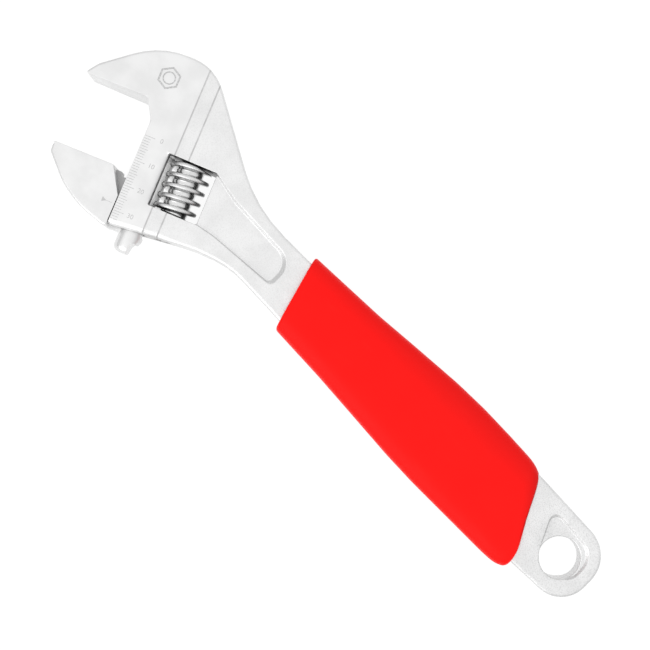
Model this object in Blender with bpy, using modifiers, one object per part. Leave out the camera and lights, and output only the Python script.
"""Adjustable wrench, 250 mm class, lying flat.

+X runs along the handle from the head to the hang hole, +Y towards the fixed jaw's side, +Z is
the face's normal. The origin is below the middle of the whole tool, on the surface it lies on.

Everything is drawn from the worm's middle, at half the head's thickness: x and y along and across
the handle, u and v along and across the jaws, which are turned from the handle by TILT_DEG.
"""

import math

import bmesh
import bpy
from mathutils import Matrix, Vector

MM = 0.001
TILT_DEG = 22.5

# Overall
HANDLE_REACH = 209.6 * MM      # from the worm's middle to the handle's end
JAW_REACH = 49.2 * MM          # from the worm's middle to the fixed jaw's tip
HEAD_THICK = 16.5 * MM
JAW_TIP_THICK = 13.2 * MM
SHOULDER_THICK = 14.0 * MM     # just behind the ground part of the head
NECK_THICK = 10.6 * MM         # where the grip begins
TAIL_THICK = 8.0 * MM

# Head
FRONT_WALL = 3.7 * MM          # metal between the rail's bore and the head's front edge
HEAD_CROWN = 46.4 * MM         # from the worm's middle to the head's top
CROWN_FRONT = 27.1 * MM        # from the worm's axis to the crown's front corner
CROWN_BACK = 5.4 * MM
CROWN_FRONT_ROUND = 32.0 * MM
CROWN_BACK_ROUND = 17.0 * MM
FACE_FIXED = 26.5 * MM         # from the worm's middle to the fixed jaw's gripping face
JAW_ROOT = 24.2 * MM           # where the gripping face meets the throat
THROAT_DROP = 7.7 * MM
GROUND_EDGE = 6.6 * MM         # where the ground head face ends and slopes down to the shoulder
SHOULDER_EDGE = 1.2 * MM
WINDOW_TALL = 20.7 * MM
WINDOW_SILL = 10.1 * MM        # metal between the window and the head's lower edge
THUMB_CUT_RADIUS = 13.6 * MM
THUMB_CUT_HEIGHT = 16.0 * MM
JAW_TIP_TALL = 1.1 * MM        # height of the fixed jaw's blunt tip
LOW_EDGE_DROP = 2.0 * MM       # how much lower the head's front corner is than its lower edge

# Handle
NECK_TOP_X = 24.5 * MM         # where the crown runs out into the handle's upper edge
NECK_LOW_X = 33.5 * MM         # where the head's lower edge runs out into the handle's lower edge
NECK_FLARE = 4.2 * MM          # how far the lower edge opens towards the head
NECK_ROUND = 35.0 * MM
HANDLE_ROUND = 60.0 * MM
SWELL_ROUND = 120.0 * MM
HANDLE_TOP_NECK = 14.6 * MM
HANDLE_LOW_NECK = 7.9 * MM
HANDLE_TOP_SWELL = 19.6 * MM
HANDLE_LOW_SWELL = 13.5 * MM
SWELL_SETBACK = 82.0 * MM      # from the handle's end to its widest place
TAIL_TOP = 17.2 * MM
TAIL_LOW = 10.4 * MM
TAIL_RISE = 1.7 * MM           # how much higher the upper edge is where it leaves the grip
TAIL_ROUND = 13.0 * MM
PANEL_DEPTH = 1.4 * MM
PANEL_END = 49.2 * MM
POCKET_DEPTH = 1.0 * MM
POCKET_RADIUS = 8.7 * MM
POCKET_LONG = 7.2 * MM         # how much further the pocket reaches towards the grip
HOLE_RADIUS = 7.8 * MM
HOLE_SETBACK = 14.2 * MM
HOLE_HEIGHT = 2.5 * MM

# Moving jaw
JAW_OPENING = 27.9 * MM        # between the gripping faces as the tool lies
JAW_CLOSED_GAP = 0.3 * MM
MOVING_REACH = 50.2 * MM
HOOK_DEEP = 22.5 * MM          # from the gripping face to the hook's lowest edge
HOOK_SLANT = 6.0 * MM          # how far the hook's back edge leans away from the head
HOOK_TIP_TALL = 4.0 * MM       # height of the hook's blunt tip
HOOK_BELLY_BACK = 9.0 * MM     # from the tip to the belly's corner
HOOK_BELLY_DROP = 13.2 * MM
HOOK_HEEL_U = 32.0 * MM        # from the worm's axis to the heel's corner
HOOK_HEEL_RISE = 3.5 * MM
RAIL_RADIUS = 4.6 * MM
RAIL_LENGTH = 40.0 * MM
WEB_THICK = 5.2 * MM
WEB_STEP = 0.8 * MM            # how far the web's top is below the gripping face
WEB_RELIEF = 1.4 * MM          # depth of the round notch in the web's top
RAIL_CHAMFER = 0.8 * MM
RAIL_NOSE = 2.2 * MM           # how much slimmer the rail's lower end is turned
RAIL_NOSE_LONG = 1.8 * MM

# Worm, its pin and its spring
WORM_RADIUS = 8.15 * MM
HUB_RADIUS = 5.1 * MM
RIB_TUCK = 1.2 * MM            # how deep the rib is rooted in the hub
RIB_EDGE = 0.5 * MM            # height of the rib's bevelled edge
LEAD = 4.15 * MM
RIB_ROOT = 2.3 * MM
RIB_CREST = 0.9 * MM
RIB_RUNOUT = 0.6 * MM          # bare hub at each end of the worm
RIB_PHASE = 1.5 * MM           # height of a rib on the side away from the rack
MESH_DEPTH = 1.25 * MM         # how deep the rib reaches into the rack
PIN_RADIUS = 2.5 * MM
PIN_HEAD_RADIUS = 3.0 * MM
PIN_HEAD_LENGTH = 3.0 * MM
PIN_SINK = 0.6 * MM            # how deep the pin's head sits in the head's lower edge
PIN_SEAT = 4.0 * MM            # how far the pin reaches past the window
PIN_CHAMFER = 0.5 * MM
PIN_HEAD_CHAMFER = 0.3 * MM
SLOT_WIDE = 1.0 * MM
SLOT_DEEP = 1.2 * MM
SPRING_POCKET_RADIUS = 4.0 * MM
SPRING_POCKET_DEPTH = 4.5 * MM
SPRING_WIRE = 0.6 * MM
SPRING_TURNS = 3.5

# Grip
GRIP_START = 57.0 * MM
GRIP_SETBACK = 33.6 * MM       # from the handle's end to the middle of the grip's slanted mouth
GRIP_WALL = 2.7 * MM
GRIP_SLANT = 4.4 * MM          # half the difference between the two ends of the front mouth
GRIP_TAIL_SLANT = 6.6 * MM     # how much further the lower end of the tail mouth reaches

# Clearances
WORM_END_GAP = 0.35 * MM
WORM_FRONT_GAP = 0.65 * MM
WORM_BACK_GAP = 2.05 * MM
RAIL_END_GAP = 0.55 * MM
SLIDE_GAP = 0.3 * MM
MESH_GAP = 0.3 * MM
PIN_GAP = 0.3 * MM
GRIP_GAP = 0.3 * MM
TOUCH_GAP = 0.3 * MM

TILT = math.radians(TILT_DEG)
WINDOW_FRONT = WORM_RADIUS + WORM_FRONT_GAP
WINDOW_BACK = WORM_RADIUS + WORM_BACK_GAP
WORM_LENGTH = WINDOW_TALL - 2 * WORM_END_GAP
RAIL_SETBACK = WORM_RADIUS + RAIL_RADIUS - MESH_DEPTH
RAIL_TOP = WINDOW_TALL / 2 - RAIL_END_GAP
HEAD_FRONT = RAIL_SETBACK + RAIL_RADIUS + FRONT_WALL
HEAD_LOW = WINDOW_TALL / 2 + WINDOW_SILL
FACE_MOVING = FACE_FIXED - JAW_OPENING
HOOK_LOW = FACE_MOVING - HOOK_DEEP
WEB_TOP = FACE_MOVING - WEB_STEP
CLOSE_TRAVEL = JAW_OPENING - JAW_CLOSED_GAP
GRIP_END = HANDLE_REACH - GRIP_SETBACK
HOLE_X = HANDLE_REACH - HOLE_SETBACK
SWELL_X = HANDLE_REACH - SWELL_SETBACK
THROUGH = 40.0 * MM

for thing in list(bpy.data.objects):
    bpy.data.objects.remove(thing, do_unlink=True)

parts = bpy.data.collections.new("adjustable_wrench")
tools = bpy.data.collections.new("cutters")
for group in (parts, tools):
    bpy.context.scene.collection.children.link(group)


def empty(name, parent=None):
    """A frame that pieces hang on."""
    frame = bpy.data.objects.new(name, None)
    frame.empty_display_size = 0.01
    frame.parent = parent
    parts.objects.link(frame)
    return frame


tool_frame = empty("tool_frame")
head_frame = empty("head_frame", tool_frame)
head_frame.rotation_euler.z = TILT


def head(u, v):
    """A point of the head's plan, given along and across the jaws."""
    return (u * math.cos(TILT) - v * math.sin(TILT), u * math.sin(TILT) + v * math.cos(TILT))


def to_head(x, y):
    """A point of the handle's plan, along and across the jaws."""
    return (x * math.cos(TILT) + y * math.sin(TILT), y * math.cos(TILT) - x * math.sin(TILT))


def paint(thing, name, colour, metallic, roughness):
    """Gives a piece its own material."""
    material = bpy.data.materials.new(name)
    material.use_nodes = True
    shader = material.node_tree.nodes["Principled BSDF"]
    shader.inputs["Base Color"].default_value = (*colour, 1.0)
    shader.inputs["Metallic"].default_value = metallic
    shader.inputs["Roughness"].default_value = roughness
    thing.data.materials.clear()
    thing.data.materials.append(material)


def rounded(corners, step_deg=14.0):
    """The closed outline through corners (x, y, radius), each turned with its own radius."""
    path = []
    for index, (x, y, radius) in enumerate(corners):
        here = Vector((x, y))
        back = (Vector(corners[index - 1][:2]) - here).normalized()
        onward = (Vector(corners[(index + 1) % len(corners)][:2]) - here).normalized()
        half = back.angle(onward) / 2
        if radius == 0 or math.pi - 2 * half < math.radians(1.0):
            path.append(here)
            continue
        middle = here + (back + onward).normalized() * radius / math.sin(half)
        first = here + back * radius / math.tan(half) - middle
        sweep = math.pi - 2 * half
        if back.cross(onward) > 0:
            sweep = -sweep
        count = max(2, math.ceil(abs(sweep) / math.radians(step_deg)))
        for step in range(count + 1):
            path.append(middle + Matrix.Rotation(sweep * step / count, 2) @ first)
    return path


def grown(corners, by):
    """The same corners with every side moved outwards, and the radii to suit."""
    moved = []
    for index, (x, y, radius) in enumerate(corners):
        here = Vector((x, y))
        back = (here - Vector(corners[index - 1][:2])).normalized()
        onward = (Vector(corners[(index + 1) % len(corners)][:2]) - here).normalized()
        out_back = Vector((back.y, -back.x))
        out_onward = Vector((onward.y, -onward.x))
        shift = (out_back + out_onward) * by / (1 + out_back.dot(out_onward))
        turn = by if back.cross(onward) > 0 else -by
        moved.append((x + shift.x, y + shift.y, max(radius + turn, 0.1 * MM) if radius else 0))
    return moved


def place(thing, parent, location=(0, 0, 0), rotation=(0, 0, 0)):
    thing.parent = parent
    thing.location = location
    thing.rotation_euler = rotation
    return thing


def solid_from(thing, weld=1e-6):
    """The curve or modified object as a plain closed mesh of its own."""
    bpy.context.view_layer.update()
    shape = thing.evaluated_get(bpy.context.evaluated_depsgraph_get())
    mesh = bpy.data.meshes.new_from_object(shape)
    work = bmesh.new()
    work.from_mesh(mesh)
    bmesh.ops.remove_doubles(work, verts=work.verts, dist=weld)
    open_edges = [edge for edge in work.edges if edge.is_boundary]
    if open_edges:
        bmesh.ops.holes_fill(work, edges=open_edges)
    bmesh.ops.recalc_face_normals(work, faces=work.faces)
    work.to_mesh(mesh)
    work.free()
    solid = bpy.data.objects.new(thing.name, mesh)
    solid.matrix_world = thing.matrix_world
    name = thing.name
    bpy.data.objects.remove(thing, do_unlink=True)
    solid.name = name
    tools.objects.link(solid)
    return solid


def plate(name, outline, half):
    """A flat plate with the given outline, of the given half thickness."""
    curve = bpy.data.curves.new(name, "CURVE")
    curve.dimensions = "2D"
    curve.fill_mode = "BOTH"
    curve.extrude = half
    spline = curve.splines.new("POLY")
    spline.points.add(len(outline) - 1)
    for point, (x, y) in zip(spline.points, outline):
        point.co = (x, y, 0, 1)
    spline.use_cyclic_u = True
    thing = bpy.data.objects.new(name, curve)
    tools.objects.link(thing)
    return solid_from(thing)


def turned(name, profile, sides=40):
    """A piece turned about Z from a profile of (radius, height), outer side first, top down."""
    mesh = bpy.data.meshes.new(name)
    mesh.from_pydata([(r, 0, z) for r, z in profile], [(i, i + 1) for i in range(len(profile) - 1)], [])
    thing = bpy.data.objects.new(name, mesh)
    tools.objects.link(thing)
    screw = thing.modifiers.new("turn", "SCREW")
    screw.steps = sides
    screw.render_steps = sides
    screw.use_merge_vertices = True
    screw.merge_threshold = 1e-7
    return solid_from(thing)


def cylinder(name, radius, low, high, sides=40):
    """A round bar along Z."""
    bar = [(0, high), (radius, high), (radius, low), (0, low)]
    return turned(name, bar, sides)


def combine(target, other, operation):
    """Joins, cuts or trims target with other, which stays as a hidden guide."""
    step = target.modifiers.new(other.name, "BOOLEAN")
    step.object = other
    step.operation = operation
    step.solver = "EXACT"
    other.hide_render = True
    other.display_type = "WIRE"


def finish_part(thing, sharp_deg=30.0):
    """Moves a piece to the parts and shades its round faces smooth."""
    tools.objects.unlink(thing)
    parts.objects.link(thing)
    thing.data.shade_smooth()
    thing.data.set_sharp_from_angle(angle=math.radians(sharp_deg))
    return thing


def along_v(thing, u=0.0, z=0.0):
    """Stands a piece turned about its own Z along the jaws' slide."""
    return place(thing, head_frame, (u, 0, z), (-math.pi / 2, 0, 0))


def side_slab(name, stations, grow=0.0):
    """A slab across the whole tool whose half thickness follows (u, half thickness) stations."""
    upper = [(u, half + grow) for u, half in stations]
    lower = [(u, -half - grow) for u, half in reversed(stations)]
    slab = plate(name, lower[::-1] + upper[::-1], 0.16)
    return place(slab, head_frame, rotation=(math.pi / 2, 0, 0))


# Forged body
# One forging: the fixed jaw, the head round the worm's window, and the handle with its hang hole.
HANDLE_U = to_head(HANDLE_REACH, TAIL_TOP)[0]
NECK_U = GRIP_START
BODY_STATIONS = [
    (-JAW_REACH - 6 * MM, JAW_TIP_THICK / 2),
    (-JAW_REACH, JAW_TIP_THICK / 2),
    (-JAW_ROOT, HEAD_THICK / 2),
    (-GROUND_EDGE, HEAD_THICK / 2),
    (-SHOULDER_EDGE, SHOULDER_THICK / 2),
    (NECK_U, NECK_THICK / 2),
    (HANDLE_U, TAIL_THICK / 2),
    (HANDLE_U + 6 * MM, TAIL_THICK / 2),
]
SHOULDER_SLOPE = math.atan2((SHOULDER_THICK - NECK_THICK) / 2, NECK_U + SHOULDER_EDGE)
TAIL_SLOPE = math.atan2((NECK_THICK - TAIL_THICK) / 2, HANDLE_U - NECK_U)


def body_corners():
    """The forging's outline, anticlockwise from the fixed jaw's tip."""
    return [
        (*head(-JAW_REACH, FACE_FIXED), 0.6 * MM),
        (*head(-JAW_ROOT, FACE_FIXED), 1.2 * MM),
        (*head(-HEAD_FRONT, FACE_FIXED - THROAT_DROP), 2.0 * MM),
        (*head(-HEAD_FRONT, -HEAD_LOW - LOW_EDGE_DROP), 1.2 * MM),
        (WINDOW_BACK + 9.8 * MM, -HANDLE_LOW_NECK - NECK_FLARE, HANDLE_ROUND),
        (NECK_LOW_X, -HANDLE_LOW_NECK, NECK_ROUND),
        (GRIP_START - 2 * MM, -HANDLE_LOW_NECK - 0.7 * MM, HANDLE_ROUND),
        (SWELL_X, -HANDLE_LOW_SWELL, SWELL_ROUND),
        (HANDLE_REACH, -TAIL_LOW, TAIL_ROUND - 1 * MM),
        (HANDLE_REACH, TAIL_TOP, TAIL_ROUND),
        (GRIP_END - 4 * MM, TAIL_TOP + TAIL_RISE, HANDLE_ROUND),
        (SWELL_X, HANDLE_TOP_SWELL, SWELL_ROUND),
        (GRIP_START - 1 * MM, HANDLE_TOP_NECK, HANDLE_ROUND),
        (NECK_TOP_X, HANDLE_TOP_NECK, HANDLE_ROUND - 2 * MM),
        (*head(-CROWN_BACK, HEAD_CROWN), CROWN_BACK_ROUND),
        (*head(-CROWN_FRONT, HEAD_CROWN), CROWN_FRONT_ROUND),
        (*head(-JAW_REACH, FACE_FIXED + JAW_TIP_TALL), 0.5 * MM),
    ]


def body_blank(name, grow=0.0):
    """The plain forging before it is machined; a grown one cuts the hollow that fits over it."""
    blank = plate(name, rounded(grown(body_corners(), grow), 8.0), THROUGH)
    place(blank, tool_frame)
    combine(blank, side_slab(name + "_thickness", BODY_STATIONS, grow), "INTERSECT")
    return blank


def face_cutters(name, outline, depth, surface, slope):
    """Two plates, given along the head, that sink a recess into both faces to one depth."""
    cutters = []
    for side in (1, -1):
        cutter = plate(f"{name}_{'upper' if side > 0 else 'lower'}", outline, THROUGH / 4)
        height = surface - depth + THROUGH / 4 / math.cos(slope)
        place(cutter, head_frame, (0, 0, side * height), (0, side * slope, 0))
        cutters.append(cutter)
    return cutters


def recess(body, name, outline, depth, surface, slope):
    for cutter in face_cutters(name, outline, depth, surface, slope):
        combine(body, cutter, "DIFFERENCE")


def surface_at_zero(u, half, slope):
    """Height of a sloping face at u = 0, from its height at another place."""
    return half + u * math.tan(slope)


body = body_blank("body")

window = plate("window_cutter", [
    (-WINDOW_FRONT, -WINDOW_TALL / 2),
    (WINDOW_BACK, -WINDOW_TALL / 2),
    (WINDOW_BACK, WINDOW_TALL / 2),
    (-WINDOW_FRONT, WINDOW_TALL / 2),
], THROUGH)
combine(body, place(window, head_frame), "DIFFERENCE")

for side in (1, -1):
    scoop_end = WINDOW_TALL / 2 - TOUCH_GAP
    scoop = cylinder(f"thumb_scoop_{side + 2}", THUMB_CUT_RADIUS, -scoop_end, scoop_end, 62)
    combine(body, along_v(scoop, 0, side * THUMB_CUT_HEIGHT), "DIFFERENCE")

bore_top = RAIL_TOP + CLOSE_TRAVEL + 2 * SLIDE_GAP
rail_bore = cylinder("rail_bore_cutter", RAIL_RADIUS + SLIDE_GAP, -THROUGH, bore_top)
combine(body, along_v(rail_bore, -RAIL_SETBACK), "DIFFERENCE")

web_slot = plate("web_slot_cutter", [
    (-HEAD_FRONT - THROUGH, -THROUGH),
    (-RAIL_SETBACK, -THROUGH),
    (-RAIL_SETBACK, WEB_TOP + CLOSE_TRAVEL + SLIDE_GAP),
    (-HEAD_FRONT - THROUGH, WEB_TOP + CLOSE_TRAVEL + SLIDE_GAP),
], WEB_THICK / 2 + SLIDE_GAP)
combine(body, place(web_slot, head_frame), "DIFFERENCE")

pin_low = -HEAD_LOW + PIN_SINK
pin_high = WINDOW_TALL / 2 + PIN_SEAT
pin_hole = turned("pin_hole_cutter", [
    (0, pin_high + PIN_GAP),
    (PIN_RADIUS + PIN_GAP, pin_high + PIN_GAP),
    (PIN_RADIUS + PIN_GAP, pin_low + PIN_HEAD_LENGTH + PIN_GAP),
    (PIN_HEAD_RADIUS + PIN_GAP, pin_low + PIN_HEAD_LENGTH + PIN_GAP),
    (PIN_HEAD_RADIUS + PIN_GAP, -THROUGH),
    (0, -THROUGH),
])
combine(body, along_v(pin_hole), "DIFFERENCE")

panel_start = WINDOW_TALL / 2 - TOUCH_GAP
PANEL = [
    (*head(WINDOW_BACK - 3 * MM, panel_start), 0),
    (*head(WINDOW_BACK - 3 * MM, -panel_start), 0),
    (*head(WINDOW_BACK, -WINDOW_TALL / 2), 0),
    (21.0 * MM, -4.2 * MM, 20 * MM),
    (PANEL_END, -2.1 * MM, 2.2 * MM),
    (PANEL_END, 10.2 * MM, 7.5 * MM),
    (17.6 * MM, 11.4 * MM, 20 * MM),
    (*head(WINDOW_BACK, WINDOW_TALL / 2), 0),
]
shoulder_zero = surface_at_zero(-SHOULDER_EDGE, SHOULDER_THICK / 2, SHOULDER_SLOPE)
panel_outline = [to_head(*point) for point in rounded(PANEL)]
recess(body, "panel_cutter", panel_outline, PANEL_DEPTH, shoulder_zero, SHOULDER_SLOPE)

POCKET = [
    (HOLE_X + POCKET_RADIUS, HOLE_HEIGHT - POCKET_RADIUS, POCKET_RADIUS - 0.2 * MM),
    (HOLE_X + POCKET_RADIUS, HOLE_HEIGHT + POCKET_RADIUS + 1.2 * MM, POCKET_RADIUS),
    (HOLE_X - POCKET_RADIUS - POCKET_LONG, HOLE_HEIGHT + POCKET_RADIUS + 3.0 * MM, 3.0 * MM),
    (HOLE_X - POCKET_RADIUS, HOLE_HEIGHT - POCKET_RADIUS, POCKET_RADIUS - 2.0 * MM),
]
tail_zero = surface_at_zero(NECK_U, NECK_THICK / 2, TAIL_SLOPE)
pocket_outline = [to_head(*point) for point in rounded(POCKET)]
recess(body, "pocket_cutter", pocket_outline, POCKET_DEPTH, tail_zero, TAIL_SLOPE)

hang_hole = cylinder("hang_hole_cutter", HOLE_RADIUS, -THROUGH, THROUGH)
combine(body, place(hang_hole, tool_frame, (HOLE_X, HOLE_HEIGHT, 0)), "DIFFERENCE")
finish_part(body)
paint(body, "satin_chrome", (0.80, 0.80, 0.79), 1.0, 0.32)


# Thread shapes
# The worm's rib, and the same rib grown by the running gap, which hobs the rack's teeth.
def thread(name, gap, low, high):
    """A right-handed rib about Z, between two heights, as one closed ribbon."""
    root = HUB_RADIUS - RIB_TUCK
    crest = WORM_RADIUS + gap
    flank_root = RIB_ROOT / 2 + gap
    flank_crest = RIB_CREST / 2 + gap
    section = [
        (root, flank_root),
        (crest - RIB_EDGE, flank_crest + RIB_EDGE / 2),
        (crest, flank_crest - 0.1 * MM),
        (crest, -flank_crest + 0.1 * MM),
        (crest - RIB_EDGE, -flank_crest - RIB_EDGE / 2),
        (root, -flank_root),
    ]
    first = math.floor((low - RIB_PHASE) / LEAD) - 1
    turns = math.ceil((high - low) / LEAD) + 2
    base = RIB_PHASE + first * LEAD
    mesh = bpy.data.meshes.new(name)
    edges = [(i, (i + 1) % len(section)) for i in range(len(section))]
    mesh.from_pydata([(r, 0, base + z) for r, z in section], edges, [])
    thing = bpy.data.objects.new(name, mesh)
    tools.objects.link(thing)
    screw = thing.modifiers.new("helix", "SCREW")
    screw.angle = 2 * math.pi
    screw.screw_offset = LEAD
    screw.iterations = turns
    screw.steps = 30
    screw.render_steps = 30
    screw.use_merge_vertices = False
    return solid_from(thing, 1e-8)


# Moving jaw
# One forging: the hook, the web that runs in the head's slot, and the round rail with its rack.
def jaw_slide_frame():
    """A frame whose place is on the slide's own line, so the jaw moves along its +Y."""
    frame = empty("jaw_slide", head_frame)
    frame.location = (-RAIL_SETBACK, 0, 0)
    return frame


jaw_frame = jaw_slide_frame()
hook_back = -HEAD_FRONT - SLIDE_GAP
HOOK = [
    (-MOVING_REACH, FACE_MOVING, 0.7 * MM),
    (-MOVING_REACH + 0.2 * MM, FACE_MOVING - HOOK_TIP_TALL, 2.0 * MM),
    (-MOVING_REACH + HOOK_BELLY_BACK, FACE_MOVING - HOOK_BELLY_DROP, 22 * MM),
    (-HOOK_HEEL_U, HOOK_LOW + HOOK_HEEL_RISE, 30 * MM),
    (hook_back, HOOK_LOW, 1.2 * MM),
    (hook_back, FACE_MOVING - 10.0 * MM, 0.6 * MM),
    (hook_back - HOOK_SLANT, FACE_MOVING, 0.4 * MM),
]
HOOK_STATIONS = [
    (-MOVING_REACH - 6 * MM, JAW_TIP_THICK / 2),
    (-MOVING_REACH, JAW_TIP_THICK / 2),
    (-JAW_ROOT, HEAD_THICK / 2),
    (0.0, HEAD_THICK / 2),
]
moving_jaw = plate("moving_jaw", rounded([(u + RAIL_SETBACK, v, r) for u, v, r in HOOK]), THROUGH)
place(moving_jaw, jaw_frame)
combine(moving_jaw, side_slab("hook_thickness", HOOK_STATIONS), "INTERSECT")

web_low = HOOK_LOW + TOUCH_GAP
web_reach = HEAD_FRONT + HOOK_SLANT - RAIL_SETBACK + TOUCH_GAP
web = plate("web_shape", rounded([
    (-web_reach, web_low + WEB_RELIEF + WEB_STEP, 0),
    (hook_back + RAIL_SETBACK, web_low, 0.8 * MM),
    (0.0, web_low, 0),
    (0.0, WEB_TOP, 0),
    (hook_back + RAIL_SETBACK - 0.6 * MM, WEB_TOP, 0.8 * MM),
    (hook_back + RAIL_SETBACK - 1.8 * MM, WEB_TOP - WEB_RELIEF, 1.0 * MM),
    (hook_back + RAIL_SETBACK - 3.0 * MM, WEB_TOP, 0.8 * MM),
    (-web_reach, WEB_TOP, 0),
]), WEB_THICK / 2)
combine(moving_jaw, place(web, jaw_frame), "UNION")

rail_low = RAIL_TOP - RAIL_LENGTH
rail = turned("rail_shape", [
    (0, RAIL_TOP),
    (RAIL_RADIUS - RAIL_CHAMFER, RAIL_TOP),
    (RAIL_RADIUS, RAIL_TOP - RAIL_CHAMFER),
    (RAIL_RADIUS, rail_low + RAIL_NOSE_LONG),
    (RAIL_RADIUS - RAIL_CHAMFER, rail_low + 0.6 * MM),
    (RAIL_RADIUS - RAIL_NOSE, rail_low),
    (0, rail_low),
])
combine(moving_jaw, along_v(rail, -RAIL_SETBACK), "UNION")
hob = along_v(thread("rack_cutter", MESH_GAP, rail_low, RAIL_TOP))
combine(moving_jaw, hob, "DIFFERENCE")
finish_part(moving_jaw)
paint(moving_jaw, "satin_chrome_jaw", (0.80, 0.80, 0.79), 1.0, 0.32)

# Worm
# The thumb wheel: a hub with one right-handed rib, bored for its pin and pocketed for its spring.
rib_end = WORM_LENGTH / 2 - RIB_RUNOUT
rib = along_v(thread("worm_rib", 0.0, -rib_end, rib_end))
combine(rib, along_v(cylinder("rib_trim", WORM_RADIUS + 1 * MM, -rib_end, rib_end, 46)), "INTERSECT")
worm = cylinder("worm", HUB_RADIUS, -WORM_LENGTH / 2, WORM_LENGTH / 2, 48)
along_v(worm)
combine(worm, rib, "UNION")
pocket_floor = WORM_LENGTH / 2 - SPRING_POCKET_DEPTH
worm_bore = turned("worm_bore_cutter", [
    (0, THROUGH),
    (SPRING_POCKET_RADIUS, THROUGH),
    (SPRING_POCKET_RADIUS, pocket_floor),
    (PIN_RADIUS + PIN_GAP, pocket_floor),
    (PIN_RADIUS + PIN_GAP, -THROUGH),
    (0, -THROUGH),
])
combine(worm, along_v(worm_bore), "DIFFERENCE")
finish_part(worm)
paint(worm, "bright_chrome", (0.86, 0.86, 0.86), 1.0, 0.12)

# Worm pin
# A slotted pin pushed in through the head's lower edge: the worm turns on its shank.
pin = turned("worm_pin", [
    (0, pin_high),
    (PIN_RADIUS - PIN_CHAMFER, pin_high),
    (PIN_RADIUS, pin_high - PIN_CHAMFER),
    (PIN_RADIUS, pin_low + PIN_HEAD_LENGTH),
    (PIN_HEAD_RADIUS, pin_low + PIN_HEAD_LENGTH),
    (PIN_HEAD_RADIUS, pin_low + PIN_HEAD_CHAMFER),
    (PIN_HEAD_RADIUS - PIN_HEAD_CHAMFER, pin_low),
    (0, pin_low),
], 32)
slot = plate("pin_slot_cutter", [
    (-THROUGH, pin_low - 2 * MM),
    (THROUGH, pin_low - 2 * MM),
    (THROUGH, pin_low + SLOT_DEEP),
    (-THROUGH, pin_low + SLOT_DEEP),
], SLOT_WIDE / 2)
combine(pin, place(slot, head_frame), "DIFFERENCE")
along_v(pin)
finish_part(pin)
paint(pin, "pin_steel", (0.55, 0.55, 0.55), 1.0, 0.35)

# Worm spring
# A short wire spring round the pin that keeps the worm from turning by itself.
spring_low = pocket_floor + TOUCH_GAP + SPRING_WIRE / 2
spring_high = WINDOW_TALL / 2 - TOUCH_GAP - SPRING_WIRE / 2
coil_radius = (PIN_RADIUS + SPRING_POCKET_RADIUS) / 2
curve = bpy.data.curves.new("worm_spring", "CURVE")
curve.dimensions = "3D"
curve.bevel_depth = SPRING_WIRE / 2
curve.bevel_resolution = 1
curve.use_fill_caps = True
coil = curve.splines.new("POLY")
coil_points = int(SPRING_TURNS * 14)
coil.points.add(coil_points)
for index, point in enumerate(coil.points):
    share = index / coil_points
    turn = 2 * math.pi * SPRING_TURNS * share
    rise = spring_low + (spring_high - spring_low) * share
    point.co = (coil_radius * math.cos(turn), coil_radius * math.sin(turn), rise, 1)
spring = bpy.data.objects.new("worm_spring", curve)
tools.objects.link(spring)
spring = along_v(solid_from(spring))
finish_part(spring)
paint(spring, "spring_steel", (0.45, 0.45, 0.46), 1.0, 0.35)

# Grip
# A soft sleeve pushed over the handle, thicker than the metal it covers, with slanted mouths.
GRIP_RUN = SWELL_X - GRIP_START
GRIP_STATIONS = [
    (GRIP_START - 10 * MM, -HANDLE_LOW_NECK - 4.0 * MM, HANDLE_TOP_NECK + 2.8 * MM),
    (GRIP_START + 0.40 * GRIP_RUN, -HANDLE_LOW_NECK - 5.4 * MM, HANDLE_TOP_NECK + 4.3 * MM),
    (GRIP_START + 0.64 * GRIP_RUN, -HANDLE_LOW_SWELL - 0.9 * MM, HANDLE_TOP_SWELL + 0.7 * MM),
    (SWELL_X - 4 * MM, -HANDLE_LOW_SWELL - 2.5 * MM, HANDLE_TOP_SWELL + 2.3 * MM),
    (SWELL_X + 10 * MM, -HANDLE_LOW_SWELL - 2.9 * MM, HANDLE_TOP_SWELL + 2.5 * MM),
    (GRIP_END - 12 * MM, -HANDLE_LOW_SWELL - 2.9 * MM, HANDLE_TOP_SWELL + 1.5 * MM),
    (GRIP_END + 12 * MM, -HANDLE_LOW_SWELL - 2.9 * MM, HANDLE_TOP_SWELL + 0.4 * MM),
]


def core_half(x):
    """Half the handle's thickness at x, inside the grip."""
    share = (x - NECK_U) / (HANDLE_U - NECK_U)
    return (NECK_THICK + (TAIL_THICK - NECK_THICK) * share) / 2


def grip_section(x, low, high, sides=28):
    """One cross-section of the sleeve: a rounded oblong round the handle."""
    half_high = core_half(x) + GRIP_WALL
    half_wide = (high - low) / 2
    ring = []
    for index in range(sides):
        angle = 2 * math.pi * index / sides
        across = math.copysign(abs(math.cos(angle)) ** 0.45, math.cos(angle))
        upward = math.copysign(abs(math.sin(angle)) ** 0.62, math.sin(angle))
        ring.append((x, (low + high) / 2 + half_wide * across, half_high * upward))
    return ring


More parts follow.
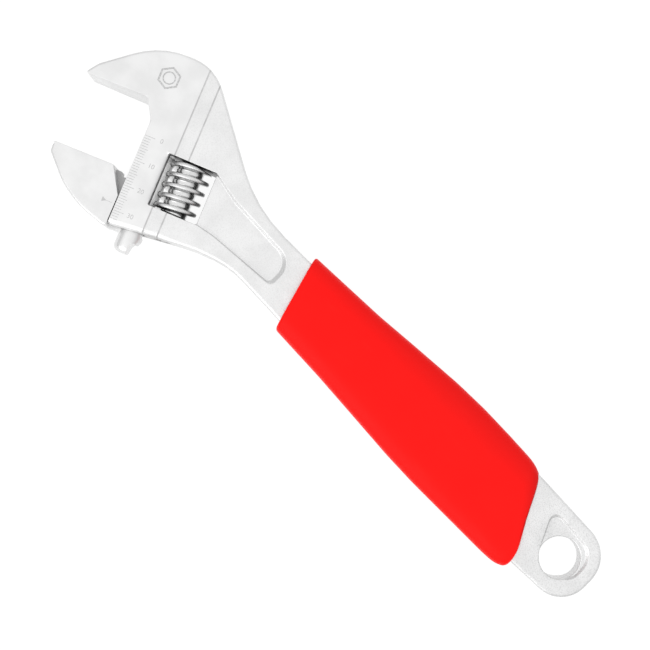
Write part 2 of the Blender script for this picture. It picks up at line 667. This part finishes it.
def loft(name, rings):
    """A closed solid through rings of equal counts."""
    count = len(rings[0])
    work = bmesh.new()
    rows = [[work.verts.new(point) for point in ring] for ring in rings]
    for row, after in zip(rows, rows[1:]):
        for i in range(count):
            j = (i + 1) % count
            work.faces.new((row[i], row[j], after[j], after[i]))
    work.faces.new(rows[0])
    work.faces.new(rows[-1])
    bmesh.ops.recalc_face_normals(work, faces=work.faces)
    mesh = bpy.data.meshes.new(name)
    work.to_mesh(mesh)
    work.free()
    thing = bpy.data.objects.new(name, mesh)
    tools.objects.link(thing)
    return thing


grip = loft("grip", [grip_section(*station) for station in GRIP_STATIONS])
place(grip, tool_frame)
MOUTHS = [
    (GRIP_START + GRIP_SLANT + 2.8 * MM, -20 * MM, 0),
    (GRIP_END + GRIP_TAIL_SLANT, -20 * MM, 0),
    (GRIP_END + GRIP_TAIL_SLANT, -8.0 * MM, 10 * MM),
    (GRIP_END + 0.4 * MM, 2.2 * MM, HANDLE_ROUND),
    (GRIP_END - GRIP_TAIL_SLANT - 0.6 * MM, 18.8 * MM, 9 * MM),
    (GRIP_END - GRIP_TAIL_SLANT - 7.4 * MM, 26 * MM, 0),
    (GRIP_START - GRIP_SLANT - 2.0 * MM, 26 * MM, 0),
]
combine(grip, place(plate("grip_mouths", rounded(MOUTHS), THROUGH), tool_frame), "INTERSECT")
combine(grip, body_blank("grip_core", GRIP_GAP), "DIFFERENCE")
finish_part(grip)
paint(grip, "red_grip", (0.86, 0.02, 0.015), 0.0, 0.45)

# Set the whole tool on its face, with the origin below the middle of its box.
bpy.context.view_layer.update()
graph = bpy.context.evaluated_depsgraph_get()
spread = []
for thing in parts.objects:
    if thing.type == "MESH":
        shape = thing.evaluated_get(graph)
        spread += [shape.matrix_world @ vertex.co for vertex in shape.data.vertices]
low = [min(point[axis] for point in spread) for axis in range(3)]
high = [max(point[axis] for point in spread) for axis in range(3)]
tool_frame.location = (-(low[0] + high[0]) / 2, -(low[1] + high[1]) / 2, -low[2])
bpy.context.view_layer.update()
